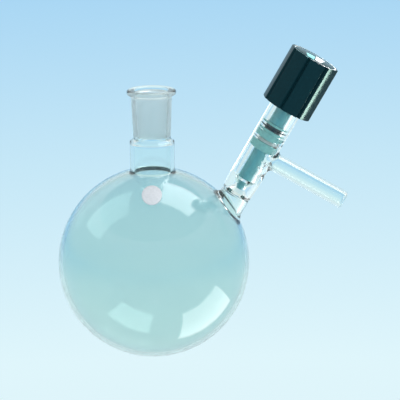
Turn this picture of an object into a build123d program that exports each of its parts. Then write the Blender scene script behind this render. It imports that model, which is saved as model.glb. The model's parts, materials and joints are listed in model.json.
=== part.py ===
from build123d import *
from math import asin, cos, hypot, radians, sin
import os

# A 250 ml round bottom storage flask: a blown bulb, a neck with a 14/20 ground joint, and a
# greaseless screw valve with a plain hose arm. All lengths are in millimetres. The origin is the
# lowest point of the bulb, on the neck's axis. +Z runs up the neck, and the valve leans from it
# towards +X, in the XZ plane.

# Bulb
BULB_RADIUS = 42.5
BULB_WALL = 1.8
NECK_FILLET = 2.4
TUBULATION_FILLET = 2.4
INNER_FILLET = 1.0

# Neck tube and 14/20 ground joint: heights are above the bulb's lowest point
NECK_RADIUS = 9.9
NECK_BORE = 8.2
NECK_FOOT = 87.2
NECK_SHOULDER = 96.8
NECK_SHOULDER_ROUND = 1.6
NECK_SHOULDER_INNER_ROUND = 2.4
NECK_TOP = 98.2
NECK_TOP_RADIUS = 8.6
JOINT_TAPER = 1 / 10
JOINT_TOP_BORE = 14.5 / 2
JOINT_LENGTH = 20.0
JOINT_FOOT_RADIUS = 8.25
JOINT_HEAD_RADIUS = 9.1
JOINT_START = 99.5
JOINT_ROOT_HEIGHT = 0.4
JOINT_ROOT_ROUND = 3.0
RIM_RADIUS = 10.85
RIM_HEIGHT = 2.2
RIM_ROUND = 0.9
RIM_NECK_ROUND = 1.2
MOUTH_ROUND = 0.8

# Valve: distances along it are from the seat, and distances across it are from its axis
VALVE_LEAN = 30.0
VALVE_OFFSET = 16.5
SEAT_HEIGHT = 48.45
SEAM = -3.4
TUBULATION_RADIUS = 6.6
TUBULATION_BORE = 4.8
BARREL_RADIUS = 7.2
BARREL_BORE = 4.2
BARREL_TOP = 58.0
BARREL_FULL = 4.0
BARREL_TOP_ROUND = 1.0
BORE_START = 5.0
SEAT_TOP = 3.6
SEAT_GAP = 0.05
ORIFICE = 2.05
ORIFICE_FLARE = 4.0

# Screw thread between the barrel and the knob
THREAD_PITCH = 3.0
THREAD_DEPTH = 1.0
THREAD_GAP = 0.3
RIDGE_CREST = 0.4
RIDGE_SLOPE = 0.35
RIDGE_ROOTED = 0.4
BARREL_RIDGE_START = 46.5
BARREL_RIDGE_LENGTH = 10.0
KNOB_RIDGE_LENGTH = 10.5

# Side arm
ARM_RADIUS = 4.0
ARM_BORE = 2.75
ARM_HEIGHT = 17.3
ARM_FOOT = 10.6
ARM_FOOT_RADIUS = 4.2
ARM_END = 43.0
ARM_END_ROUND = 0.5
ARM_FILLET = 1.8

# Plug, its O-rings and what holds the knob to it
TIP_RADIUS = 1.15
STEM_RADIUS = 3.2
STEM_SHOULDER = 4.2
LAND_RADIUS = 4.14
LAND_START = 19.5
LAND_END = 32.6
LOWER_GROOVE = (23.3, 25.0)
LOWER_GROOVE_RADIUS = 2.95
UPPER_GROOVE = (29.3, 31.5)
UPPER_GROOVE_RADIUS = 2.75
ORING_RADIUS = 4.17
ORING_SIDE_GAP = 0.05
SHANK_RADIUS = 3.6
SHANK_TOP = 58.5
SPINDLE_RADIUS = 2.6
SPINDLE_TOP = 62.6
SPINDLE_GAP = 0.08
WASHER_RADIUS = 6.4
WASHER_HEIGHT = 0.9
SMALL_WASHER_RADIUS = 5.0
SMALL_WASHER_HEIGHT = 0.8
WASHER_GAP = 0.05
SCREW_RADIUS = 1.5
SCREW_LENGTH = 9.0
SCREW_HEAD_RADIUS = 2.8
SCREW_HEAD_HEIGHT = 1.5
SCREW_HEAD_SIDE = 0.7
RECESS_LENGTH = 3.0
RECESS_WIDTH = 0.6
RECESS_DEPTH = 0.9

# Knob
KNOB_RADIUS = 11.6
KNOB_FACET = 11.2
KNOB_BASE = 40.9
KNOB_TOP = 66.5
KNOB_EDGE = 0.5
MOUTH_CHAMFER = (0.8, 1.2)
FLUTES = 8
FLUTE_WIDTH = 1.8
FLUTE_FLOOR = 10.6
FLUTE_TURN = -17.5
WEB_BOTTOM = 59.5
WEB_TOP = 62.5
HEAD_ROOM_RADIUS = 7.6
CAP_SEAT = 65.1
CAP_RADIUS = 9.6
CAP_GAP = 0.05
CAP_EDGE_ROUND = 0.4
CAP_EDGE_TOP = 0.1
CAP_DOME = 0.5

# Enamel marking spot
SPOT_WIDTH = 8.8
SPOT_HEIGHT = 11.8
SPOT_THICKNESS = 0.1
SPOT_LATITUDE = 58.0

bulb_centre = Vector(0, 0, BULB_RADIUS)
lean = radians(VALVE_LEAN)
valve_out = Vector(cos(lean), 0, -sin(lean))
valve_up = Vector(sin(lean), 0, cos(lean))
seat = bulb_centre + valve_out * VALVE_OFFSET + valve_up * SEAT_HEIGHT

# The valve's own planes: square to it, with local X towards the side arm, and lengthwise, where
# local X is the distance from the axis and local Y the distance from the seat.
valve_plane = Plane(origin=seat, x_dir=valve_out, z_dir=valve_up)
valve_section = Plane(origin=seat, x_dir=valve_out, z_dir=(0, -1, 0))
valve_axis = Axis(seat, valve_up)
arm_plane = Plane(origin=seat + valve_up * ARM_HEIGHT, x_dir=valve_up, z_dir=valve_out)


def ridge_section(path, centre, inwards):
    """The plane and the outline of a thread ridge, at the start of its helix."""
    start = path @ 0
    radial = (start - centre).normalized() * (-1 if inwards else 1)
    root = RIDGE_CREST + RIDGE_SLOPE * (THREAD_DEPTH + RIDGE_ROOTED)
    corners = [
        (-RIDGE_ROOTED, -root),
        (THREAD_DEPTH, -RIDGE_CREST),
        (THREAD_DEPTH, RIDGE_CREST),
        (-RIDGE_ROOTED, root),
    ]
    return Plane(origin=start, x_dir=radial, z_dir=path % 0), corners


# Bulb: one blown sphere with two pulled feet, for the neck and for the valve
with BuildPart() as bulb_cavity:
    with Locations(bulb_centre):
        Sphere(BULB_RADIUS - BULB_WALL, rotation=(0, 0, 180))
    with BuildSketch(Plane.XY.offset(BULB_RADIUS)):
        Circle(NECK_BORE)
    extrude(amount=NECK_FOOT - BULB_RADIUS)
    fillet(bulb_cavity.edges(Select.NEW).filter_by_position(Axis.Z, 75, 85), INNER_FILLET)
    with BuildSketch(valve_plane.offset(SEAM)):
        Circle(TUBULATION_BORE)
    extrude(amount=-SEAT_HEIGHT / 2)

with BuildPart() as bulb:
    with Locations(bulb_centre):
        Sphere(BULB_RADIUS, rotation=(0, 0, 180))
    with BuildSketch(Plane.XY.offset(BULB_RADIUS)):
        Circle(NECK_RADIUS)
    extrude(amount=NECK_FOOT - BULB_RADIUS)
    fillet(bulb.edges(Select.NEW).filter_by_position(Axis.Z, 75, 85), NECK_FILLET)
    with BuildSketch(valve_plane.offset(SEAM)):
        Circle(TUBULATION_RADIUS)
    extrude(amount=-SEAT_HEIGHT / 2)
    fillet(bulb.edges(Select.NEW).filter_by_position(Axis.Z, 55, 76), TUBULATION_FILLET)
    add(bulb_cavity.part, mode=Mode.SUBTRACT)
bulb.part.label = "bulb"

# Neck tube: plain tube, drawn in at the top to meet the ground joint
joint_foot_bore = JOINT_TOP_BORE - JOINT_LENGTH * JOINT_TAPER / 2
neck_lip = (NECK_TOP_RADIUS, NECK_TOP)
bore_top = NECK_TOP - (NECK_BORE - joint_foot_bore) * 1.1
with BuildPart() as neck_tube:
    with BuildSketch(Plane.XZ):
        with BuildLine():
            Line((NECK_BORE, NECK_FOOT), (NECK_RADIUS, NECK_FOOT))
            Line((NECK_RADIUS, NECK_FOOT), (NECK_RADIUS, NECK_SHOULDER))
            RadiusArc((NECK_RADIUS, NECK_SHOULDER), neck_lip, -NECK_SHOULDER_ROUND)
            Line(neck_lip, (joint_foot_bore, NECK_TOP))
            RadiusArc((joint_foot_bore, NECK_TOP), (NECK_BORE, bore_top), NECK_SHOULDER_INNER_ROUND)
            Line((NECK_BORE, bore_top), (NECK_BORE, NECK_FOOT))
        make_face()
    revolve(axis=Axis.Z)
neck_tube.part.label = "neck_tube"

# Ground joint: 1 in 10 cone inside, slight taper outside, rolled rim
joint_head = JOINT_START + JOINT_LENGTH
joint_root = (JOINT_FOOT_RADIUS, JOINT_START + JOINT_ROOT_HEIGHT)
rim_bottom = joint_head - RIM_HEIGHT / 2
rim_top = joint_head + RIM_HEIGHT / 2
rim_edge = RIM_RADIUS - RIM_ROUND
with BuildPart() as ground_joint:
    with BuildSketch(Plane.XZ):
        with BuildLine():
            Line((joint_foot_bore, NECK_TOP), neck_lip)
            RadiusArc(neck_lip, joint_root, JOINT_ROOT_ROUND)
            Line(joint_root, (JOINT_HEAD_RADIUS, rim_bottom - MOUTH_ROUND))
            RadiusArc((JOINT_HEAD_RADIUS, rim_bottom - MOUTH_ROUND), (rim_edge, rim_bottom), RIM_NECK_ROUND)
            ThreePointArc((rim_edge, rim_bottom), (RIM_RADIUS, joint_head), (rim_edge, rim_top))
            Line((rim_edge, rim_top), (JOINT_TOP_BORE + MOUTH_ROUND, rim_top))
            RadiusArc(
                (JOINT_TOP_BORE + MOUTH_ROUND, rim_top),
                (JOINT_TOP_BORE, joint_head),
                -RIM_HEIGHT / 2,
            )
            Line((JOINT_TOP_BORE, joint_head), (joint_foot_bore, JOINT_START))
            Line((joint_foot_bore, JOINT_START), (joint_foot_bore, NECK_TOP))
        make_face()
    revolve(axis=Axis.Z)
ground_joint.part.label = "ground_joint"

# Valve barrel: thick tube with the seat below, a glass screw thread above and the arm's foot
cone_slope = (STEM_RADIUS - TIP_RADIUS) / STEM_SHOULDER
cone_gap = SEAT_GAP * hypot(1, cone_slope)
seat_bottom = (ORIFICE - TIP_RADIUS - cone_gap) / cone_slope
seat_mouth = TIP_RADIUS + cone_gap + cone_slope * SEAT_TOP
barrel_shoulder = BARREL_TOP - BARREL_TOP_ROUND
with BuildPart() as valve_barrel:
    with BuildSketch(valve_section):
        with BuildLine():
            Line((TUBULATION_BORE, SEAM), (TUBULATION_RADIUS, SEAM))
            Spline(
                (TUBULATION_RADIUS, SEAM),
                (BARREL_RADIUS, BARREL_FULL),
                tangents=[(0.3, 1), (0, 1)],
            )
            Line((BARREL_RADIUS, BARREL_FULL), (BARREL_RADIUS, barrel_shoulder))
            RadiusArc(
                (BARREL_RADIUS, barrel_shoulder),
                (BARREL_RADIUS - BARREL_TOP_ROUND, BARREL_TOP),
                -BARREL_TOP_ROUND,
            )
            Line(
                (BARREL_RADIUS - BARREL_TOP_ROUND, BARREL_TOP),
                (BARREL_BORE + BARREL_TOP_ROUND, BARREL_TOP),
            )
            RadiusArc(
                (BARREL_BORE + BARREL_TOP_ROUND, BARREL_TOP),
                (BARREL_BORE, barrel_shoulder),
                -BARREL_TOP_ROUND,
            )
            Line((BARREL_BORE, barrel_shoulder), (BARREL_BORE, BORE_START))
            Line((BARREL_BORE, BORE_START), (seat_mouth, SEAT_TOP))
            Line((seat_mouth, SEAT_TOP), (ORIFICE, seat_bottom))
            Line((ORIFICE, seat_bottom), (ORIFICE, 0))
            RadiusArc((ORIFICE, 0), (TUBULATION_BORE, SEAM), ORIFICE_FLARE)
        make_face()
    revolve(axis=valve_axis)
    with BuildSketch(arm_plane):
        Circle(ARM_FOOT_RADIUS)
    extrude(amount=ARM_FOOT)
    # The arm's foot is joined to the barrel's near wall by a fillet. Its far end stays as it is.
    weld = [
        edge
        for edge in valve_barrel.edges(Select.NEW)
        if BARREL_BORE < arm_plane.to_local_coords(edge.center()).Z < ARM_FOOT - 1
    ]
    fillet(weld, ARM_FILLET)
    with BuildSketch(arm_plane):
        Circle(ARM_BORE)
    extrude(amount=ARM_FOOT, mode=Mode.SUBTRACT)
    with BuildSketch(valve_plane.offset(BORE_START)):
        Circle(BARREL_BORE)
    extrude(amount=barrel_shoulder - BORE_START, mode=Mode.SUBTRACT)
    ridge_centre = seat + valve_up * BARREL_RIDGE_START
    with BuildLine() as barrel_helix:
        Helix(THREAD_PITCH, BARREL_RIDGE_LENGTH, BARREL_RADIUS, center=ridge_centre, direction=valve_up)
    ridge_plane, ridge_corners = ridge_section(barrel_helix.line, ridge_centre, inwards=False)
    with BuildSketch(ridge_plane):
        Polygon(*ridge_corners, align=None)
    sweep(is_frenet=True)
valve_barrel.part.label = "valve_barrel"

# Side arm: plain hose tube with a fire-polished end
with BuildPart() as side_arm:
    with BuildSketch(arm_plane.offset(ARM_FOOT)):
        Circle(ARM_RADIUS)
        Circle(ARM_BORE, mode=Mode.SUBTRACT)
    extrude(amount=ARM_END - ARM_FOOT)
    arm_ends = side_arm.edges().filter_by(GeomType.CIRCLE).group_by(Axis(seat, valve_out))[-1]
    fillet(arm_ends, ARM_END_ROUND)
side_arm.part.label = "side_arm"

# Marking spot: an oval of enamel fired on the bulb's front
spot_up = radians(SPOT_LATITUDE)
spot_plane = Plane(origin=bulb_centre, x_dir=(1, 0, 0), z_dir=(0, -cos(spot_up), sin(spot_up)))
with BuildPart() as marking_spot:
    with Locations(bulb_centre):
        Sphere(BULB_RADIUS + SPOT_THICKNESS)
        Sphere(BULB_RADIUS, mode=Mode.SUBTRACT)
    with BuildSketch(spot_plane):
        Ellipse(SPOT_WIDTH / 2, SPOT_HEIGHT / 2)
    extrude(amount=BULB_RADIUS + 1, mode=Mode.INTERSECT)
marking_spot.part.label = "marking_spot"

# Plug: PTFE, with a tapered tip, a thin stem, lands with two O-ring grooves, and a long shank
with BuildPart() as plug:
    with BuildSketch(valve_section):
        with BuildLine():
            Polyline(
                (0, 0),
                (TIP_RADIUS, 0),
                (STEM_RADIUS, STEM_SHOULDER),
                (STEM_RADIUS, LAND_START),
                (LAND_RADIUS, LAND_START),
                (LAND_RADIUS, LOWER_GROOVE[0]),
                (LOWER_GROOVE_RADIUS, LOWER_GROOVE[0]),
                (LOWER_GROOVE_RADIUS, LOWER_GROOVE[1]),
                (LAND_RADIUS, LOWER_GROOVE[1]),
                (LAND_RADIUS, UPPER_GROOVE[0]),
                (UPPER_GROOVE_RADIUS, UPPER_GROOVE[0]),
                (UPPER_GROOVE_RADIUS, UPPER_GROOVE[1]),
                (LAND_RADIUS, UPPER_GROOVE[1]),
                (LAND_RADIUS, LAND_END),
                (SHANK_RADIUS, LAND_END),
                (SHANK_RADIUS, SHANK_TOP),
                (SPINDLE_RADIUS, SHANK_TOP),
                (SPINDLE_RADIUS, SPINDLE_TOP),
                (0, SPINDLE_TOP),
                close=True,
            )
        make_face()
    revolve(axis=valve_axis)
    with BuildSketch(valve_plane.offset(SPINDLE_TOP)):
        Circle(SCREW_RADIUS)
    extrude(amount=-SCREW_LENGTH, mode=Mode.SUBTRACT)
plug.part.label = "plug"


def oring_section(groove, groove_radius):
    """The centre and the half sizes of an O-ring squeezed between its groove and the barrel."""
    centre = ((groove_radius + ORING_RADIUS) / 2, (groove[0] + groove[1]) / 2)
    return centre, (ORING_RADIUS - groove_radius) / 2, (groove[1] - groove[0]) / 2 - ORING_SIDE_GAP


# O-rings: squeezed oval in their grooves
with BuildPart() as lower_oring:
    with BuildSketch(valve_section):
        centre, across, along = oring_section(LOWER_GROOVE, LOWER_GROOVE_RADIUS)
        with Locations(centre):
            Ellipse(across, along)
    revolve(axis=valve_axis)
lower_oring.part.label = "lower_oring"

with BuildPart() as upper_oring:
    with BuildSketch(valve_section):
        centre, across, along = oring_section(UPPER_GROOVE, UPPER_GROOVE_RADIUS)
        with Locations(centre):
            Ellipse(across, along)
    revolve(axis=valve_axis)
upper_oring.part.label = "upper_oring"

# Washers: the knob pushes the plug down on the large one and lifts it by the small one
with BuildPart() as thrust_washer:
    with BuildSketch(valve_plane.offset(SHANK_TOP)):
        Circle(WASHER_RADIUS)
        Circle(SPINDLE_RADIUS + WASHER_GAP, mode=Mode.SUBTRACT)
    extrude(amount=WASHER_HEIGHT)
thrust_washer.part.label = "thrust_washer"

with BuildPart() as retaining_washer:
    with BuildSketch(valve_plane.offset(SPINDLE_TOP)):
        Circle(SMALL_WASHER_RADIUS)
        Circle(SCREW_RADIUS + WASHER_GAP, mode=Mode.SUBTRACT)
    extrude(amount=SMALL_WASHER_HEIGHT)
retaining_washer.part.label = "retaining_washer"

# Retaining screw: pan head with a cross recess
head_base = SPINDLE_TOP + SMALL_WASHER_HEIGHT
head_top = head_base + SCREW_HEAD_HEIGHT
head_side = head_base + SCREW_HEAD_SIDE
with BuildPart() as retaining_screw:
    with BuildSketch(valve_section):
        with BuildLine():
            Line((0, head_base - SCREW_LENGTH), (SCREW_RADIUS, head_base - SCREW_LENGTH))
            Line((SCREW_RADIUS, head_base - SCREW_LENGTH), (SCREW_RADIUS, head_base))
            Line((SCREW_RADIUS, head_base), (SCREW_HEAD_RADIUS, head_base))
            Line((SCREW_HEAD_RADIUS, head_base), (SCREW_HEAD_RADIUS, head_side))
            Spline((SCREW_HEAD_RADIUS, head_side), (0, head_top), tangents=[(0, 1), (-1, 0)])
            Line((0, head_top), (0, head_base - SCREW_LENGTH))
        make_face()
    revolve(axis=valve_axis)
    with BuildSketch(valve_plane.offset(head_top)):
        Rectangle(RECESS_LENGTH, RECESS_WIDTH)
        Rectangle(RECESS_WIDTH, RECESS_LENGTH)
    extrude(amount=-RECESS_DEPTH, mode=Mode.SUBTRACT)
retaining_screw.part.label = "retaining_screw"

# Knob: fluted shell with a web across it, threaded inside below the web
flute_half = asin(FLUTE_WIDTH / 2 / KNOB_RADIUS)
flute_step = radians(360 / FLUTES)
knob_bore = BARREL_RADIUS + THREAD_DEPTH + THREAD_GAP


def around(radius, angle):
    """The point at this distance and angle from the valve's axis."""
    return radius * cos(angle), radius * sin(angle)


with BuildPart() as knob:
    with BuildSketch(valve_plane.offset(KNOB_BASE)):
        with BuildLine():
            for i in range(FLUTES):
                flute = radians(FLUTE_TURN) + i * flute_step
                lip = around(KNOB_RADIUS, flute - flute_half)
                floor = around(FLUTE_FLOOR, flute)
                next_lip = around(KNOB_RADIUS, flute + flute_half)
                facet = around(KNOB_FACET, flute + flute_step / 2)
                facet_end = around(KNOB_RADIUS, flute + flute_step - flute_half)
                Polyline(lip, floor, next_lip)
                ThreePointArc(next_lip, facet, facet_end)
        make_face()
    extrude(amount=KNOB_TOP - KNOB_BASE)
    with BuildSketch(valve_section) as knob_envelope:
        with Locations((0, KNOB_BASE)):
            Rectangle(KNOB_RADIUS, KNOB_TOP - KNOB_BASE, align=(Align.MIN, Align.MIN))
        fillet(knob_envelope.vertices().group_by(Axis.X)[-1], KNOB_EDGE)
    revolve(axis=valve_axis, mode=Mode.INTERSECT)
    with BuildSketch(valve_section):
        with BuildLine():
            Polyline(
                (0, KNOB_BASE),
                (knob_bore + MOUTH_CHAMFER[0], KNOB_BASE),
                (knob_bore, KNOB_BASE + MOUTH_CHAMFER[1]),
                (knob_bore, WEB_BOTTOM),
                (SPINDLE_RADIUS + SPINDLE_GAP, WEB_BOTTOM),
                (SPINDLE_RADIUS + SPINDLE_GAP, WEB_TOP),
                (HEAD_ROOM_RADIUS, WEB_TOP),
                (HEAD_ROOM_RADIUS, CAP_SEAT),
                (CAP_RADIUS, CAP_SEAT),
                (CAP_RADIUS, KNOB_TOP),
                (0, KNOB_TOP),
                close=True,
            )
        make_face()
    revolve(axis=valve_axis, mode=Mode.SUBTRACT)
    ridge_centre = seat + valve_up * (BARREL_RIDGE_START - THREAD_PITCH / 2)
    with BuildLine() as knob_helix:
        Helix(THREAD_PITCH, KNOB_RIDGE_LENGTH, knob_bore, center=ridge_centre, direction=valve_up)
    ridge_plane, ridge_corners = ridge_section(knob_helix.line, ridge_centre, inwards=True)
    with BuildSketch(ridge_plane):
        Polygon(*ridge_corners, align=None)
    sweep(is_frenet=True)
knob.part.label = "knob"

# Knob cap: glossy domed disc pressed into the top of the knob
cap_side = CAP_RADIUS - CAP_GAP
cap_low = (cap_side, KNOB_TOP + CAP_EDGE_TOP - CAP_EDGE_ROUND)
cap_high = (cap_side - CAP_EDGE_ROUND, KNOB_TOP + CAP_EDGE_TOP)
with BuildPart() as knob_cap:
    with BuildSketch(valve_section):
        with BuildLine():
            Line((0, CAP_SEAT), (cap_side, CAP_SEAT))
            Line((cap_side, CAP_SEAT), cap_low)
            RadiusArc(cap_low, cap_high, -CAP_EDGE_ROUND)
            Spline(cap_high, (0, KNOB_TOP + CAP_DOME), tangents=[(-1, 0.08), (-1, 0)])
            Line((0, KNOB_TOP + CAP_DOME), (0, CAP_SEAT))
        make_face()
    revolve(axis=valve_axis)
knob_cap.part.label = "knob_cap"

os.makedirs("parts", exist_ok=True)
for piece in (
    bulb,
    neck_tube,
    ground_joint,
    valve_barrel,
    side_arm,
    marking_spot,
    plug,
    lower_oring,
    upper_oring,
    thrust_washer,
    retaining_washer,
    retaining_screw,
    knob,
    knob_cap,
):
    export_step(piece.part, f"parts/{piece.part.label}.step")
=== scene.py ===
import json
from math import acos, asin, atan2, cos, hypot, pi, radians, sin, sqrt, tan
import bpy
import bmesh
from mathutils import Matrix, Vector
from mathutils.geometry import delaunay_2d_cdt


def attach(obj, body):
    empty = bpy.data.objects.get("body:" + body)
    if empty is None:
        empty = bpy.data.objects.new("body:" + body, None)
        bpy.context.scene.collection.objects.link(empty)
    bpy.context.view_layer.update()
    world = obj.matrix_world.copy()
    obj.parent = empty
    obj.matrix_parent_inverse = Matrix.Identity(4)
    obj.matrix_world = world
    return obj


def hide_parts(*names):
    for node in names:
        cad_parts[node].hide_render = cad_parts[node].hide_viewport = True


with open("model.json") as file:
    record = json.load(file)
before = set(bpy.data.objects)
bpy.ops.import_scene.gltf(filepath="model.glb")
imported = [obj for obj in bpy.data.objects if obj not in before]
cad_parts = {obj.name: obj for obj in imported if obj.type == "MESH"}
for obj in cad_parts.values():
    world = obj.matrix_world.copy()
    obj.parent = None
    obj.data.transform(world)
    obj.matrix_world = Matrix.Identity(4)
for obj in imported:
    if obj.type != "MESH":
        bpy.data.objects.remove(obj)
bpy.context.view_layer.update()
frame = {"nodes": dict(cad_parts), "record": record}

# A round bottom storage flask. Meshes are drawn in millimetres, in the model's own frame: the bulb's
# lowest point is the origin and +Z runs up the neck. MM turns them into metres at the end.
MM = 0.001

# ---------------------------------------------------------------- sizes, in millimetres

BULB_R = 42.5
BULB_INNER_R = 40.7
NECK_R, NECK_BORE = 9.9, 8.2
JOINT_FOOT_R, JOINT_HEAD_R, RIM_R = 8.25, 9.1, 10.85
CONE_FOOT_R, CONE_HEAD_R = 6.25, 7.25
CONE_LOW, CONE_HIGH, CONE_STEPS = 99.5, 119.2, 8
RIM_LOW, RIM_HIGH = 118.3, 120.5

VALVE_OFFSET, VALVE_RISE = 16.5, 48.45
SEAM = -3.4
FOOT_R, FOOT_BORE = 6.6, 4.8
FOOT_BLEND, FOOT_BORE_BLEND = 2.6, 1.2
BARREL_R, BARREL_BORE, BARREL_TOP = 7.2, 4.2, 58.0
THREAD_PITCH, THREAD_DEPTH, THREAD_FADE = 3.0, 1.0, 1.2
THREAD_LOW, THREAD_HIGH = 46.5, 56.5
ORIFICE_R = 2.05

ARM_HEIGHT, ARM_END, ARM_R, ARM_BORE = 17.3, 43.0, 4.0, 2.75
ARM_BLEND, ARM_BORE_BLEND = 1.9, 0.35

CONTACT = 0.012          # how far a pressed seal reaches into the glass, so that it shows through it

AROUND_NECK, AROUND_VALVE, AROUND_ARM, AROUND_PLUG = 192, 144, 144, 96

GROUND, BLOWN = 1, 2     # material slots of the glass for its ground cone and bulb. The tubes have slot 0


def joint_named(name):
    """The record's joint of that name."""
    return next(j for j in frame["record"]["behaviour"]["joints"] if j["name"] == name)


turn = joint_named("knob_turn")
valve_up = Vector(turn["axis"]).normalized()
valve_out = Vector((valve_up.z, 0, -valve_up.x))
seat = Vector(turn["pos_m"]) / MM


def placed(x_axis, z_axis, origin):
    """The matrix of a local frame with these axes, at this origin."""
    y_axis = z_axis.cross(x_axis)
    return Matrix.Translation(origin) @ Matrix((x_axis, y_axis, z_axis)).transposed().to_4x4()


NECK = Matrix.Identity(4)
VALVE = placed(valve_out, valve_up, seat)
ARM = placed(valve_up, valve_out, seat + valve_up * ARM_HEIGHT)


# ---------------------------------------------------------------- mesh tools


def arc_corner(before, corner, after, radius, steps):
    """The points of an arc of this radius that rounds the corner."""
    a, c, b = Vector(before), Vector(corner), Vector(after)
    u, v = (a - c).normalized(), (b - c).normalized()
    half = acos(max(-1, min(1, u.dot(v)))) / 2
    if radius <= 0 or half > pi / 2 - 0.02:
        return [c]
    reach = min(radius / tan(half), 0.49 * (a - c).length, 0.49 * (b - c).length)
    radius = reach * tan(half)
    centre = c + (u + v).normalized() * (radius / sin(half))
    start, end = c + u * reach - centre, c + v * reach - centre
    sweep = start.angle_signed(end)
    points = []
    for i in range(steps + 1):
        turned = Matrix.Rotation(-sweep * i / steps, 2) @ start
        points.append(centre + turned)
    return points


def outline(corners, steps=6, closed=False):
    """A polyline through (x, y, rounding) corners, with each one rounded by an arc."""
    points = []
    count = len(corners)
    for i, (x, y, rounding) in enumerate(corners):
        if not closed and i in (0, count - 1):
            points.append(Vector((x, y)))
            continue
        before, after = corners[i - 1][:2], corners[(i + 1) % count][:2]
        points += arc_corner(before, (x, y), after, rounding, steps)
    return points


class Surface:
    """One closed surface, put together from loops of vertices."""

    def __init__(self):
        self.bm = bmesh.new()

    def vertex(self, place, x, y, z):
        return self.bm.verts.new(place @ Vector((x, y, z)))

    def ring(self, place, radius, height, count):
        """A circle of vertices about the frame's Z axis."""
        angles = [2 * pi * i / count for i in range(count)]
        return [self.vertex(place, radius * cos(t), radius * sin(t), height) for t in angles]

    def bridge(self, low, high, material=0):
        """Quads between two loops of the same number of vertices."""
        for i in range(len(low)):
            k = (i + 1) % len(low)
            self.bm.faces.new((low[i], low[k], high[k], high[i])).material_index = material

    def turned(self, place, profile, count, first=None, material=0):
        """A surface of revolution through (radius, height) points. It starts at the loop `first`, if
        that is given, and returns its last loop."""
        last = first
        for radius, height in profile:
            ring = self.ring(place, radius, height, count)
            if last:
                self.bridge(last, ring, material)
            last = ring
        return last

    def pole(self, place, height, loop):
        """Closes a loop with a fan about a point on the frame's axis."""
        tip = self.vertex(place, 0, 0, height)
        for i in range(len(loop)):
            self.bm.faces.new((loop[i], loop[(i + 1) % len(loop)], tip))

    def fill(self, vertices, flat, loops, material=0):
        """Triangles between vertices, from their places on a plane. `loops` lists the loops whose edges
        are kept, outermost first, as indices. The insides of the later ones are left open."""
        edges = [(l[i], l[(i + 1) % len(l)]) for l in loops for i in range(len(l))]
        found = delaunay_2d_cdt(flat, edges, [], 0, 1e-7, True)
        source = [ids[0] for ids in found[3]]
        holes = [set(l) for l in loops[1:]]
        for triangle in found[2]:
            corners = [source[i] for i in triangle]
            if not any(all(c in hole for c in corners) for hole in holes):
                self.bm.faces.new([vertices[c] for c in corners]).material_index = material

    def piece(self, name, body, slot, *nodes):
        """The finished object, which stands for the CAD nodes and rides on the body."""
        bmesh.ops.remove_doubles(self.bm, verts=self.bm.verts, dist=1e-5)
        bmesh.ops.recalc_face_normals(self.bm, faces=self.bm.faces)
        bmesh.ops.scale(self.bm, vec=(MM, MM, MM), verts=self.bm.verts)
        mesh = bpy.data.meshes.new(name)
        self.bm.to_mesh(mesh)
        self.bm.free()
        for face in mesh.polygons:
            face.use_smooth = True
        made = bpy.data.objects.new(name, mesh)
        bpy.context.scene.collection.objects.link(made)
        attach(made, body)
        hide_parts(*nodes)
        return made


# ---------------------------------------------------------------- glass


def sphere_height(radius, across, turn_angle):
    """Where the bulb's sphere of this radius lies along the valve's axis, at a distance across from
    the axis, and how steeply that changes with the distance."""
    x = across * cos(turn_angle) + VALVE_OFFSET
    y = across * sin(turn_angle)
    rise = sqrt(radius**2 - x**2 - y**2)
    slope = -(x * cos(turn_angle) + y * sin(turn_angle)) / rise
    return rise - VALVE_RISE, slope


def tube_height(radius, across, turn_angle):
    """The same for the barrel's cylinder, seen along the side arm."""
    y = across * sin(turn_angle)
    rise = sqrt(radius**2 - y**2)
    return rise, -y * sin(turn_angle) / rise


def blend_loops(surface, place, host, host_radius, tube_radius, spread, count, steps=9):
    """Loops that carry a tube smoothly onto the host surface, from the tube to the host."""
    curves = []
    for i in range(count):
        angle = 2 * pi * i / count
        root, _ = host(host_radius, tube_radius, angle)
        end, slope = host(host_radius, tube_radius + spread, angle)
        a = Vector((tube_radius, root + spread))
        d = Vector((tube_radius + spread, end))
        b = a - Vector((0, 0.56 * spread))
        c = d - Vector((1, slope)) * (0.56 * spread)
        curves.append((angle, a, b, c, d))
    loops = []
    for k in range(steps + 1):
        t = k / steps
        loop = []
        for angle, a, b, c, d in curves:
            p = a * (1 - t) ** 3 + b * (3 * t * (1 - t) ** 2) + c * (3 * t * t * (1 - t)) + d * t**3
            loop.append(surface.vertex(place, p.x * cos(angle), p.x * sin(angle), p.y))
        loops.append(loop)
    for low, high in zip(loops, loops[1:]):
        surface.bridge(low, high)
    return loops[0], loops[-1]


def neck_fillet(bulb_radius, tube_radius, rounding, steps=7):
    """The arc between the bulb's sphere and the neck, as (radius, height), from the sphere up."""
    across = tube_radius + rounding
    rise = sqrt((bulb_radius + rounding) ** 2 - across**2)
    touch = atan2(-rise, -across)
    points = []
    for i in range(steps + 1):
        angle = touch + (-pi - touch) * i / steps
        points.append((across + rounding * cos(angle), BULB_R + rise + rounding * sin(angle)))
    return points


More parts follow.
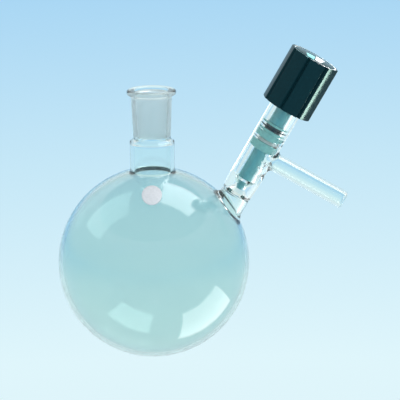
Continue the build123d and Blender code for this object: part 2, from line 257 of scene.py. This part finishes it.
def sphere(surface, radius, neck_loop, foot_loop, foot_radius):
    """The bulb's sphere between the neck's loop and the valve foot's loop."""
    centre = Vector((0, 0, BULB_R))
    step = 2 * pi / AROUND_NECK
    start = (neck_loop[0].co - centre).angle(Vector((0, 0, 1)))
    rings = int((pi - start) / step)
    to_valve = VALVE.inverted()
    vertices = list(neck_loop) + list(foot_loop)
    for k in range(1, rings + 1):
        polar = start + (pi - start) * k / rings
        count = max(1, round(AROUND_NECK * sin(polar))) if k < rings else 1
        for i in range(count):
            around = 2 * pi * (i + 0.5 * (k % 2)) / count
            way = Vector((sin(polar) * cos(around), sin(polar) * sin(around), cos(polar)))
            point = centre + way * radius
            local = to_valve @ point
            if hypot(local.x, local.y) < foot_radius + 0.9 and local.z > -VALVE_RISE:
                continue
            vertices.append(surface.bm.verts.new(point))
    flat = []
    for vertex in vertices:
        way = (vertex.co - centre).normalized()
        flat.append(Vector((way.x, way.y)) / (1 - way.z))
    first = len(neck_loop)
    loops = [range(first), range(first, first + len(foot_loop))]
    surface.fill(vertices, flat, loops, material=BLOWN)


def tube_with_hole(surface, radius, heights, low_loop, hole_loop, hole_radius):
    """Rows of the valve's tube up from low_loop, with the side arm's hole in it. Returns the top row."""
    quarter = AROUND_VALVE * 5 // 24
    to_valve = VALVE.inverted()
    rows = [low_loop]
    for height in heights:
        row = []
        for i in range(AROUND_VALVE):
            side = i if i <= AROUND_VALVE // 2 else i - AROUND_VALVE
            angle = 2 * pi * side / AROUND_VALVE
            across, along = radius * sin(angle), height - ARM_HEIGHT
            in_patch = abs(side) < quarter and height != heights[-1]
            if in_patch and hypot(across, along) < hole_radius + 0.35:
                row.append(None)
                continue
            row.append(surface.vertex(VALVE, radius * cos(angle), radius * sin(angle), height))
        rows.append(row)
    for low, high in zip(rows, rows[1:]):
        for i in range(AROUND_VALVE):
            side = i if i < AROUND_VALVE // 2 else i - AROUND_VALVE
            k = (i + 1) % AROUND_VALVE
            if -quarter <= side < quarter:
                continue
            surface.bm.faces.new((low[i], low[k], high[k], high[i]))
    sides = range(-quarter, quarter + 1)
    border = [rows[0][s] for s in sides]
    border += [row[quarter] for row in rows[1:-1]]
    border += [rows[-1][s] for s in reversed(sides)]
    border += [row[-quarter] for row in reversed(rows[1:-1])]
    inner = [row[s] for row in rows[1:-1] for s in range(1 - quarter, quarter) if row[s]]
    vertices = border + list(hole_loop) + inner
    flat = []
    for vertex in vertices:
        local = to_valve @ vertex.co
        flat.append(Vector((radius * atan2(local.y, local.x), local.z)))
    first = len(border)
    surface.fill(vertices, flat, [range(first), range(first, first + len(hole_loop))])
    return rows[-1]


def thread_height(phase):
    """The height of a thread's rounded ridge, from 0 to 1, at a distance along the pitch from its
    middle, in millimetres."""
    distance = abs((phase + THREAD_PITCH / 2) % THREAD_PITCH - THREAD_PITCH / 2)
    return 0.5 + 0.5 * cos(pi * min(max(distance - 0.3, 0) / 0.62, 1))


def thread_fade(height, low, high):
    """How much of the thread's depth there is at this height: it fades in and out at its two ends."""
    return max(0, min(1, (height - low) / THREAD_FADE, (high - height) / THREAD_FADE))


def threaded(surface, low, high, first):
    """Rows of the screw thread on the barrel's outside, from the loop `first` up. Returns the last."""
    rows = int((high - low) / 0.2)
    last = first
    for k in range(rows + 1):
        height = low + (high - low) * k / rows
        row = []
        for i in range(AROUND_VALVE):
            angle = 2 * pi * i / AROUND_VALVE
            run = height - THREAD_PITCH * angle / (2 * pi)
            r = BARREL_R + THREAD_DEPTH * thread_height(run) * thread_fade(height, low, high)
            row.append(surface.vertex(VALVE, r * cos(angle), r * sin(angle), height))
        surface.bridge(last, row)
        last = row
    return last


def spaced(low, high, step):
    """Evenly spaced values after low, up to and including high."""
    count = max(1, round((high - low) / step))
    return [low + (high - low) * (i + 1) / count for i in range(count)]


def flask_glass():
    """The whole glass: bulb, neck, ground joint, valve barrel and side arm, melted into one."""
    glass = Surface()

    # Outside of the neck and the joint, over the rim, and down the ground cone
    outer = neck_fillet(BULB_R, NECK_R, 0.9)
    neck_start = glass.ring(NECK, *outer[0], AROUND_NECK)
    up = glass.turned(NECK, outer[1:], AROUND_NECK, neck_start)
    corners = [
        (NECK_R, outer[-1][1] + 0.2, 0),
        (NECK_R, 97.3, 0.6),
        (JOINT_FOOT_R, 98.7, 0.6),
        (JOINT_HEAD_R, RIM_LOW - 0.2, 1.1),
        (RIM_R, RIM_LOW, 1.05),
        (RIM_R, RIM_HIGH, 1.1),
        (CONE_HEAD_R, RIM_HIGH, 0.9),
        (CONE_HEAD_R, CONE_HIGH, 0),
    ]
    up = glass.turned(NECK, outline(corners), AROUND_NECK, up)
    cone = []
    for k in range(1, CONE_STEPS + 1):
        share = k / CONE_STEPS
        radius = CONE_HEAD_R + (CONE_FOOT_R - CONE_HEAD_R) * share
        cone.append((radius, CONE_HIGH - (CONE_HIGH - CONE_LOW) * share))
    up = glass.turned(NECK, cone, AROUND_NECK, up, material=GROUND)

    # Inside of the neck, down to the bulb
    inner = neck_fillet(BULB_INNER_R, NECK_BORE, 0.9)
    corners = [
        (CONE_FOOT_R, CONE_LOW - 0.1, 0),
        (CONE_FOOT_R, 98.0, 0.8),
        (NECK_BORE, 96.4, 1.6),
        (NECK_BORE, inner[-1][1] + 0.1, 0),
    ]
    down = glass.turned(NECK, outline(corners), AROUND_NECK, up)
    neck_end = glass.turned(NECK, list(reversed(inner)), AROUND_NECK, down)

    # Side arm: blends onto the barrel's outside and bore, and a fire-polished end
    arm_root, arm_foot = blend_loops(glass, ARM, tube_height, BARREL_R, ARM_R, ARM_BLEND, AROUND_ARM)
    bore_root, bore_foot = blend_loops(
        glass, ARM, tube_height, BARREL_BORE, ARM_BORE, ARM_BORE_BLEND, AROUND_ARM, 4)
    tube = [(ARM_R, z) for z in spaced(9.6, ARM_END - 2, 4)]
    corners = [
        (ARM_R, ARM_END - 1.5, 0),
        (ARM_R, ARM_END, 0.65),
        (ARM_BORE, ARM_END, 0.6),
        (ARM_BORE, ARM_END - 1.5, 0),
    ]
    arm = glass.turned(ARM, tube + outline(corners), AROUND_ARM, arm_root)
    bore = [(ARM_BORE, z) for z in reversed(spaced(6.0, ARM_END - 2.5, 4))]
    arm = glass.turned(ARM, bore, AROUND_ARM, arm)
    glass.bridge(arm, bore_root)

    # Outside of the valve: foot on the bulb, weld, barrel, thread and top
    foot_top, foot_edge = blend_loops(
        glass, VALVE, sphere_height, BULB_R, FOOT_R, FOOT_BLEND, AROUND_VALVE)
    corners = [
        (FOOT_R, SEAM - 0.75, 0),
        (FOOT_R, SEAM - 0.5, 0.3),
        (FOOT_R - 0.35, SEAM, 0.35),
        (FOOT_R + 0.12, SEAM + 0.55, 0.4),
        (BARREL_R, 4.5, 8),
        (BARREL_R, 9.3, 0),
    ]
    up = glass.turned(VALVE, outline(corners), AROUND_VALVE, foot_top)
    up = tube_with_hole(glass, BARREL_R, spaced(9.3, 25.3, 0.5), up, arm_foot, ARM_R + ARM_BLEND)
    up = glass.turned(VALVE, [(BARREL_R, z) for z in spaced(25.3, THREAD_LOW - 0.5, 3)], AROUND_VALVE, up)
    up = threaded(glass, THREAD_LOW - 0.3, THREAD_HIGH, up)
    corners = [
        (BARREL_R, THREAD_HIGH + 0.3, 0),
        (BARREL_R, BARREL_TOP, 0.9),
        (BARREL_BORE, BARREL_TOP, 0.9),
        (BARREL_BORE, BARREL_TOP - 3, 0),
    ]
    down = glass.turned(VALVE, outline(corners), AROUND_VALVE, up)

    # Bore of the valve, with the arm's hole, then the seat and the way into the bulb
    heights = (50.0, 44.0, 38.0, 32.0, 26.0, 22.3)
    down = glass.turned(VALVE, [(BARREL_BORE, z) for z in heights], AROUND_VALVE, down)
    rows = [heights[-1] - 0.4 * k for k in range(1, 26)]
    down = tube_with_hole(glass, BARREL_BORE, rows, down, bore_foot, ARM_BORE + ARM_BORE_BLEND)
    corners = [
        (BARREL_BORE, 12.0, 0),
        (BARREL_BORE, 5.0, 0.6),
        (2.97, 3.6, 0.5),
        (ORIFICE_R, 1.73, 0.5),
        (ORIFICE_R, 0.3, 1.0),
        (3.2, -2.0, 1.5),
        (FOOT_BORE, SEAM - 0.2, 1.2),
        (FOOT_BORE, SEAM - 1.6, 0),
    ]
    down = glass.turned(VALVE, outline(corners), AROUND_VALVE, down)
    tubulation_top, tubulation_edge = blend_loops(
        glass, VALVE, sphere_height, BULB_INNER_R, FOOT_BORE, FOOT_BORE_BLEND, AROUND_VALVE, 5)
    glass.bridge(down, tubulation_top)

    # The bulb's two spheres
    sphere(glass, BULB_R, neck_start, foot_edge, FOOT_R + FOOT_BLEND)
    sphere(glass, BULB_INNER_R, neck_end, tubulation_edge, FOOT_BORE + FOOT_BORE_BLEND)
    nodes = ("bulb", "neck_tube", "ground_joint", "valve_barrel", "side_arm")
    return glass.piece("flask_glass", "flask", "borosilicate_glass", *nodes)


def enamel_spot():
    """The fired enamel marking spot: a thin oval skin on the bulb's front."""
    latitude = radians(58)
    width, height = 4.4, 5.9
    centre = Vector((0, 0, BULB_R))
    facing = Vector((0, -cos(latitude), sin(latitude)))
    place = placed(Vector((1, 0, 0)), facing, centre)
    spot = Surface()
    count, rings = 72, 10

    def skin(radius, k):
        share = k / rings
        loop = []
        for i in range(count):
            t = 2 * pi * i / count
            x, y = width * share * cos(t), height * share * sin(t)
            loop.append(spot.vertex(place, x, y, sqrt(radius**2 - x * x - y * y)))
        return loop

    low, high = BULB_R + 0.004, BULB_R + 0.08
    loops = [skin(high, k) for k in range(1, rings + 1)] + [skin(low, k) for k in range(rings, 0, -1)]
    for a, b in zip(loops, loops[1:]):
        spot.bridge(a, b)
    spot.pole(place, high, loops[0])
    spot.pole(place, low, loops[-1])
    return spot.piece("enamel_spot", "flask", "white_enamel", "marking_spot")


# ---------------------------------------------------------------- plug

LAND_LOW, LAND_HIGH = 19.5, 32.6
LOWER_GROOVE, UPPER_GROOVE = (23.3, 25.0, 2.95), (29.3, 31.5, 2.75)      # from, to, radius
STEM_R, STEM_TOP = 3.6, 58.5


def turned_piece(name, body, slot, node, corners):
    """A solid of revolution about the valve's axis, from (radius, height, rounding) corners that
    start and end on the axis."""
    solid = Surface()
    points = outline(corners, steps=5)
    ring = solid.turned(VALVE, [tuple(p) for p in points[1:-1]], AROUND_PLUG)
    solid.bm.verts.ensure_lookup_table()
    first = solid.bm.verts[:AROUND_PLUG]
    solid.pole(VALVE, points[0].y, first)
    solid.pole(VALVE, points[-1].y, ring)
    return solid.piece(name, body, slot, node)


def ptfe_plug():
    """The turned PTFE plug. Its lands press against the barrel. Their lighter colour, a second copy of the
    plug's own, is painted light.
    """
    land = BARREL_BORE + CONTACT
    lower_start, lower_end, lower_r = LOWER_GROOVE
    upper_start, upper_end, upper_r = UPPER_GROOVE
    corners = [
        (0, 0, 0),
        (1.15, 0, 0.25),
        (3.2, 4.2, 0.5),
        (3.2, LAND_LOW, 0.3),
        (land, LAND_LOW, 0.25),
        (land, lower_start, 0.2),
        (lower_r, lower_start, 0.1),
        (lower_r, lower_end, 0.1),
        (land, lower_end, 0.2),
        (land, 27.9, 0.12),
        (land - 0.3, 28.05, 0.08),
        (land, 28.2, 0.12),
        (land, upper_start, 0.2),
        (upper_r, upper_start, 0.1),
        (upper_r, upper_end, 0.1),
        (land, upper_end, 0.2),
        (land, LAND_HIGH, 0.25),
        (STEM_R, LAND_HIGH, 0.3),
        (STEM_R, STEM_TOP, 0.3),
        (2.6, STEM_TOP, 0.1),
        (2.6, 62.6, 0.1),
        (0, 62.6, 0),
    ]
    plug = turned_piece("ptfe_plug", "plug", "ptfe", "plug", corners)
    from_valve = VALVE.inverted()
    # Faces on the lands take the second, lighter material: a lit copy of the plug's colour, painted light.
    for face in plug.data.polygons:
        middle = from_valve @ (face.center / MM)
        face.material_index = int(hypot(middle.x, middle.y) > (STEM_R + land) / 2)
    return plug


def oring(name, slot, node, low, high, groove_radius):
    """An O-ring squeezed between its groove and the barrel."""
    ring = Surface()
    outer = BARREL_BORE + CONTACT
    middle, across = (groove_radius + outer) / 2, (outer - groove_radius) / 2
    centre, along = (low + high) / 2, (high - low) / 2 - 0.05
    count, fullness = 28, 2.6
    loops = []
    for k in range(count):
        t = 2 * pi * k / count
        swell = 1.0 / (abs(cos(t)) ** fullness + abs(sin(t)) ** fullness) ** (1 / fullness)
        radius, height = middle + across * swell * cos(t), centre + along * swell * sin(t)
        loops.append(ring.ring(VALVE, radius, height, AROUND_PLUG))
    for k in range(count):
        ring.bridge(loops[k], loops[(k + 1) % count])
    return ring.piece(name, "plug", slot, node)


# ---------------------------------------------------------------- knob

KNOB_LOW, KNOB_HIGH, KNOB_EDGE = 40.9, 66.5, 0.55
KNOB_BORE, KNOB_THREAD_LOW, KNOB_THREAD_HIGH = 8.5, 44.8, 55.8
KNOB_R, FACET_R, FLUTE_R = 11.6, 11.13, 10.0
WEB_LOW, WEB_HIGH, CAP_SEAT, CAP_DOME_R = 59.5, 62.5, 65.1, 9.2
FLUTES, FLUTE_TURN, FLUTE_WIDTH = 8, -17.5, 1.8


def knob_section():
    """The knob's fluted outline, as (distance, angle) from the valve's axis: broad, slightly crowned
    facets with a narrow rounded groove between each two."""
    step = 2 * pi / FLUTES
    half = asin(FLUTE_WIDTH / 2 / KNOB_R)
    reach = step / 2 - half
    lip = Vector((KNOB_R * cos(reach), KNOB_R * sin(reach)))
    bulge = lip.x - FACET_R
    crown = (lip.y**2 + bulge**2) / (-2 * bulge) if bulge < 0 else 1e6
    section = []
    for k in range(FLUTES):
        middle = radians(FLUTE_TURN) + (k + 0.5) * step
        for i in range(-6, 7):
            angle = reach * i / 6
            offset = crown - FACET_R
            x = -offset * cos(angle) + sqrt(crown**2 - (offset * sin(angle)) ** 2)
            section.append((x * cos(angle + middle), x * sin(angle + middle), 0.3 if abs(i) == 6 else 0))
        valley = middle + step / 2
        section.append((FLUTE_R * cos(valley), FLUTE_R * sin(valley), 0.15))
    points = outline(section, steps=3, closed=True)
    return [(p.length, atan2(p.y, p.x)) for p in points]


def fluted_knob():
    """The moulded knob: fluted outside, thread and web inside, and a seat for the cap."""
    knob = Surface()
    section = knob_section()

    def level(height, limit):
        kept = [(min(r, limit), a) for r, a in section]
        return [knob.vertex(VALVE, r * cos(a), r * sin(a), height) for r, a in kept]

    def circle(radius, height):
        return [knob.vertex(VALVE, radius * cos(a), radius * sin(a), height) for _, a in section]

    def carried(last, loops):
        for loop in loops:
            knob.bridge(last, loop)
            last = loop
        return last

    levels = []
    for k in range(7):
        t = pi / 2 * k / 6
        levels.append((KNOB_LOW + KNOB_EDGE * (1 - cos(t)), KNOB_R + 0.2 - KNOB_EDGE * (1 - sin(t))))
    tops = [(KNOB_LOW + KNOB_HIGH - h, r) for h, r in reversed(levels)]
    inner = [
        (9.3, KNOB_LOW, 0.3),
        (KNOB_BORE, KNOB_LOW + 1.2, 0.3),
        (KNOB_BORE, KNOB_LOW + 3.6, 0),
    ]
    start = circle(10.2, KNOB_LOW)
    middles = [(h, KNOB_R + 1) for h in spaced(KNOB_LOW + KNOB_EDGE, KNOB_HIGH - KNOB_EDGE, 3)[:-1]]
    last = carried(start, [level(*row) for row in levels + middles + tops])
    corners = [
        (10.4, KNOB_HIGH, 0),
        (9.62, KNOB_HIGH, 0.25),
        (9.62, CAP_SEAT, 0.1),
        (7.6, CAP_SEAT, 0.2),
        (7.6, WEB_HIGH, 0.2),
        (2.68, WEB_HIGH, 0.1),
        (2.68, WEB_LOW, 0.1),
        (KNOB_BORE, WEB_LOW, 0.4),
        (KNOB_BORE, 56.0, 0),
    ]
    last = carried(last, [circle(*p) for p in outline(corners, steps=4)])
    rows = 52
    for k in range(rows + 1):
        height = KNOB_THREAD_HIGH - (KNOB_THREAD_HIGH - KNOB_THREAD_LOW) * k / rows
        loop = []
        for _, a in section:
            angle = a % (2 * pi)
            run = height - THREAD_PITCH / 2 - THREAD_PITCH * angle / (2 * pi)
            fade = thread_fade(height, KNOB_THREAD_LOW, KNOB_THREAD_HIGH)
            r = KNOB_BORE - THREAD_DEPTH * thread_height(run) * fade
            loop.append(knob.vertex(VALVE, r * cos(a), r * sin(a), height))
        last = carried(last, [loop])
    last = carried(last, [circle(*p) for p in reversed(outline(inner, steps=4))])
    knob.bridge(last, start)
    return knob.piece("fluted_knob", "knob", "black_plastic", "knob")


def domed_cap():
    """The glossy cap pressed into the knob's top."""
    corners = [(0, CAP_SEAT, 0), (9.55, CAP_SEAT, 0.1), (9.55, KNOB_HIGH - 0.2, 0.35)]
    dome = []
    for k in range(12):
        share = 1 - k / 11
        dome.append((CAP_DOME_R * share, KNOB_HIGH + 0.5 * (1 - share**2), 0))
    return turned_piece("domed_cap", "knob", "glossy_black_plastic", "knob_cap", corners + dome)


# ---------------------------------------------------------------- materials


class Nodes:
    """A material with short calls for its nodes."""

    def __init__(self, name):
        self.material = bpy.data.materials.new(name)
        self.material.use_nodes = True
        self.tree = self.material.node_tree
        self.shader = self.tree.nodes["Principled BSDF"]

    def node(self, kind, **values):
        made = self.tree.nodes.new(kind)
        for key, value in values.items():
            if key in made.inputs:
                made.inputs[key].default_value = value
            else:
                setattr(made, key, value)
        return made

    def link(self, source, output, target, socket):
        self.tree.links.new(source.outputs[output], target.inputs[socket])

    def set(self, **values):
        for key, value in values.items():
            self.shader.inputs[key.replace("_", " ")].default_value = value

    def noise(self, scale, detail=3.0):
        """Noise in the model's own coordinates, in metres."""
        where = self.node("ShaderNodeTexCoord")
        noise = self.node("ShaderNodeTexNoise", Scale=scale, Detail=detail)
        self.link(where, "Object", noise, "Vector")
        return noise

    def ramp(self, source, output, low, high, first, second):
        ramp = self.node("ShaderNodeValToRGB")
        ramp.color_ramp.elements[0].position = low
        ramp.color_ramp.elements[0].color = first
        ramp.color_ramp.elements[1].position = high
        ramp.color_ramp.elements[1].color = second
        self.link(source, output, ramp, "Fac")
        return ramp

    def bump(self, source, output, strength, distance):
        bump = self.node("ShaderNodeBump", Strength=strength, Distance=distance)
        self.link(source, output, bump, "Height")
        self.link(bump, "Normal", self.shader, "Normal")


def grey(value):
    """A grey of this value, for a colour socket."""
    return (value, value, value, 1)


def tube_glass():
    """Drawn tube: straighter than blown glass, with a tint that hardly varies."""
    glass = Nodes("tube_glass")
    glass.set(IOR=1.47, Transmission_Weight=1.0, Roughness=0.05)
    tint = glass.ramp(glass.noise(40, 1.0), "Fac", 0.3, 0.7, (0.92, 0.98, 0.965, 1), (0.94, 0.99, 0.98, 1))
    glass.link(tint, "Color", glass.shader, "Base Color")
    return glass.material


def bulb_glass():
    """Blown glass, whose surface wanders a little, with a faint haze."""
    glass = Nodes("bulb_glass")
    glass.set(Base_Color=(0.77, 0.90, 0.88, 1), IOR=1.47, Transmission_Weight=0.95, Roughness=0.0)
    glass.bump(glass.noise(40, 1.0), "Fac", 0.008, 0.0005)
    return glass.material


def ground_glass():
    """The finely ground face of the cone."""
    glass = Nodes("ground_glass")
    glass.set(Base_Color=(0.92, 0.96, 0.96, 1), IOR=1.47, Transmission_Weight=0.68)
    grain = glass.noise(2500, 2.0)
    rough = glass.ramp(grain, "Fac", 0.3, 0.7, grey(0.38), grey(0.52))
    glass.link(rough, "Color", glass.shader, "Roughness")
    glass.bump(grain, "Fac", 0.15, 0.00005)
    return glass.material


def plastic(name, color, rough_low, rough_high, grain_scale, bump, specular=0.5):
    made = Nodes(name)
    made.set(IOR=1.5, Specular_IOR_Level=specular)
    grain = made.noise(grain_scale, 4.0)
    darker = tuple(c * 0.86 for c in color) + (1,)
    tone = made.ramp(grain, "Fac", 0.35, 0.7, darker, color + (1,))
    made.link(tone, "Color", made.shader, "Base Color")
    rough = made.ramp(grain, "Fac", 0.3, 0.7, grey(rough_low), grey(rough_high))
    made.link(rough, "Color", made.shader, "Roughness")
    made.bump(grain, "Fac", bump, 0.0001)
    return made.material


def steel():
    made = Nodes("stainless_steel")
    made.set(Metallic=1.0)
    grain = made.noise(900, 3.0)
    tone = made.ramp(grain, "Fac", 0.3, 0.7, (0.55, 0.55, 0.54, 1), (0.68, 0.68, 0.66, 1))
    made.link(tone, "Color", made.shader, "Base Color")
    rough = made.ramp(grain, "Fac", 0.3, 0.7, grey(0.22), grey(0.34))
    made.link(rough, "Color", made.shader, "Roughness")
    return made.material


def paint(piece, *materials):
    """Puts the materials in the piece's slots, and keeps which face has which."""
    slots = piece.data.materials
    for i, material in enumerate(materials):
        if i < len(slots):
            slots[i] = material
        else:
            slots.append(material)


# ---------------------------------------------------------------- the object

paint(flask_glass(), tube_glass(), ground_glass(), bulb_glass())
paint(enamel_spot(), plastic("white_enamel", (0.80, 0.79, 0.82), 0.3, 0.4, 1200, 0.1))
# The plug's dark teal stands in for white PTFE shaded behind the tinted glass, which is painted shade. Its
# lighter copy on the lands is painted light.
paint(ptfe_plug(), plastic("ptfe", (0.16, 0.54, 0.58), 0.3, 0.42, 700, 0.08, specular=0.3),
      plastic("ptfe_painted_light", (0.36, 0.78, 0.74), 0.3, 0.42, 700, 0.08, specular=0.3))
paint(oring("pale_oring", "pale_rubber", "lower_oring", *LOWER_GROOVE),
      plastic("pale_rubber", (0.70, 0.74, 0.71), 0.35, 0.5, 900, 0.05))
paint(oring("black_oring", "black_rubber", "upper_oring", *UPPER_GROOVE),
      plastic("black_rubber", (0.004, 0.022, 0.026), 0.3, 0.45, 900, 0.05, specular=0.2))
paint(fluted_knob(),
      plastic("black_plastic", (0.006, 0.036, 0.045), 0.08, 0.13, 900, 0.005, specular=0.06))
paint(domed_cap(),
      plastic("glossy_black_plastic", (0.012, 0.060, 0.072), 0.02, 0.04, 400, 0.002, specular=0.04))
for node, material in (
    ("thrust_washer", plastic("washer_plastic", (0.72, 0.70, 0.63), 0.4, 0.5, 900, 0.05)),
    ("retaining_washer", steel()),
    ("retaining_screw", steel()),
):
    paint(frame["nodes"][node], material)

# ---------------------------------------------------------------- stage, light and camera

FLOOR_LEVEL, WALL_RADIUS, COVE, WALL_TOP = -0.7, 1.6, 0.35, 1.3
BULB_MIDDLE = Vector((0, 0, BULB_R)) * MM
KNOB_MIDDLE = (seat + valve_up * 54) * MM
AIM = Vector((20.8, 0, 70.35)) * MM


def backdrop():
    """A pale studio cove: floor, rounded corner and wall, open at the top. It glows softly, paler below."""
    profile = [(radius, FLOOR_LEVEL) for radius in (0.4, 0.8, WALL_RADIUS - COVE)]
    for k in range(1, 13):
        t = pi / 2 * k / 12
        profile.append((WALL_RADIUS - COVE * (1 - sin(t)), FLOOR_LEVEL + COVE * (1 - cos(t))))
    profile.append((WALL_RADIUS, WALL_TOP))
    count = 96
    bm = bmesh.new()
    rows = []
    for radius, z in profile:
        angles = [2 * pi * i / count for i in range(count)]
        rows.append([bm.verts.new((radius * cos(t), radius * sin(t), z)) for t in angles])
    centre = bm.verts.new((0, 0, FLOOR_LEVEL))
    for i in range(count):
        k = (i + 1) % count
        bm.faces.new((centre, rows[0][i], rows[0][k]))
        for low, high in zip(rows, rows[1:]):
            bm.faces.new((low[i], high[i], high[k], low[k]))
    mesh = bpy.data.meshes.new("backdrop")
    bm.to_mesh(mesh)
    bm.free()
    for face in mesh.polygons:
        face.use_smooth = True
    sweep = bpy.data.objects.new("backdrop", mesh)
    bpy.context.scene.collection.objects.link(sweep)
    paint(sweep, glowing_paper())


def glowing_paper():
    """Paper whose blue deepens with height, and on the floor with the distance from the flask."""
    paper = Nodes("backdrop_paper")
    where = paper.node("ShaderNodeTexCoord")
    parts = paper.node("ShaderNodeSeparateXYZ")
    paper.link(where, "Object", parts, "Vector")
    across = paper.node("ShaderNodeVectorMath", operation="MULTIPLY")
    across.inputs[1].default_value = (1, 1, 0)
    paper.link(where, "Object", across, "Vector")
    reach = paper.node("ShaderNodeVectorMath", operation="LENGTH")
    paper.link(across, "Vector", reach, "Vector")
    rise = paper.node("ShaderNodeMath", operation="MULTIPLY_ADD")
    rise.inputs[1].default_value = 0.25
    paper.link(reach, "Value", rise, 0)
    paper.link(parts, "Z", rise, 2)
    shade = paper.node("ShaderNodeMapRange")
    shade.inputs["From Min"].default_value = -0.5
    shade.inputs["From Max"].default_value = 1.5
    paper.link(rise, "Value", shade, "Value")
    ramp = paper.node("ShaderNodeValToRGB")
    stops = (
        (0.00, (0.72, 0.86, 0.90)),
        (0.19, (0.74, 0.92, 0.97)),
        (0.31, (0.56, 0.80, 0.93)),
        (0.43, (0.36, 0.65, 0.90)),
        (0.56, (0.62, 0.80, 0.90)),
        (0.75, (0.76, 0.86, 0.88)),
        (1.00, (0.76, 0.84, 0.86)),
    )
    for place, color in stops:
        element = ramp.color_ramp.elements.new(place)
        element.color = color + (1,)
    ramp.color_ramp.elements.remove(ramp.color_ramp.elements[0])
    ramp.color_ramp.elements.remove(ramp.color_ramp.elements[len(stops)])
    paper.link(shade, "Result", ramp, "Fac")
    paper.link(ramp, "Color", paper.shader, "Emission Color")
    paper.set(Emission_Strength=1.0, Base_Color=(0, 0, 0, 1), Roughness=1.0, Specular_IOR_Level=0.0)
    return paper.material


def camera():
    """Straight on to the flask's front, from a little above it. Returns its right, up and back."""
    elevation, roll = radians(14), radians(-0.62)
    distance, view_width = 1.0, 0.1773
    back = Vector((0, -cos(elevation), sin(elevation)))
    level, rise = Vector((1, 0, 0)), Vector((0, sin(elevation), cos(elevation)))
    right = level * cos(roll) + rise * sin(roll)
    up = rise * cos(roll) - level * sin(roll)
    data = bpy.data.cameras.new("camera")
    data.sensor_width = 36
    data.lens = data.sensor_width * distance / view_width
    data.clip_end = 20
    eye = bpy.data.objects.new("camera", data)
    axes = Matrix((right, up, back)).transposed().to_4x4()
    eye.matrix_world = Matrix.Translation(AIM + back * distance) @ axes
    bpy.context.scene.collection.objects.link(eye)
    bpy.context.scene.camera = eye
    return right, up, back


def softbox(name, view, way, edge, distance, size, radiance, **kind):
    """A square-on light at a distance from a point. Its direction, and that of its width, are given as
    right, up and towards the camera, and its size at 1 m. `kind` may give its color and the point it
    stands about. With matt=False it shows in reflections alone, and with `only`, on those pieces alone."""
    def seen(v):
        return (view[0] * v[0] + view[1] * v[1] + view[2] * v[2]).normalized()

    facing = seen(way)
    across = seen(edge)
    across = (across - facing * across.dot(facing)).normalized()
    light = bpy.data.lights.new(name, "AREA")
    light.shape = "RECTANGLE"
    light.size, light.size_y = size[0] * distance, size[1] * distance
    light.energy = radiance * pi * light.size * light.size_y
    light.color = kind.get("color", (1, 1, 1))
    lamp = bpy.data.objects.new(name, light)
    lamp.matrix_world = placed(across, facing, kind.get("about", BULB_MIDDLE) + facing * distance)
    lamp.visible_camera = False
    lamp.visible_diffuse = kind.get("matt", True)
    if "only" in kind:
        lit = bpy.data.collections.new(name + "_lights")
        for piece in kind["only"]:
            lit.objects.link(bpy.data.objects[piece])
        lamp.light_linking.receiver_collection = lit
    bpy.context.scene.collection.objects.link(lamp)


def studio(view):
    """A pale sky over the cove, two big softboxes, and three small ones for the glints on the knob."""
    world = bpy.data.worlds.new("studio")
    world.use_nodes = True
    world.node_tree.nodes["Background"].inputs["Color"].default_value = (0.76, 0.84, 0.86, 1)
    world.node_tree.nodes["Background"].inputs["Strength"].default_value = 0.8
    bpy.context.scene.world = world
    softbox("overhead", view, (0.36, 0.93, -0.03), (0.93, -0.36, 0.11), 1.0, (0.68, 0.66), 3.2)
    softbox("low_right", view, (0.68, -0.71, -0.16), (-0.3, -0.07, -0.95), 0.62, (0.76, 0.80), 2.4,
            matt=False)
    glint = {"about": KNOB_MIDDLE, "matt": False, "only": ("fluted_knob", "domed_cap")}
    softbox("strip", view, (0.774, -0.52, -0.35), (-0.19, 0.34, -0.91), 0.8, (0.10, 0.6), 50,
            color=(0.66, 1, 0.86), **glint)
    softbox("left_window", view, (0.239, 0.412, -0.879), (0.86, -0.51, 0), 1.2, (0.023, 0.2), 5,
            color=(0.4, 1, 1), **glint)
    softbox("right_window", view, (0.229, 0.346, -0.909), (0.86, -0.51, 0), 1.2, (0.02, 0.2), 10, **glint)
    bpy.context.scene.view_settings.view_transform = "Standard"


backdrop()
studio(camera())
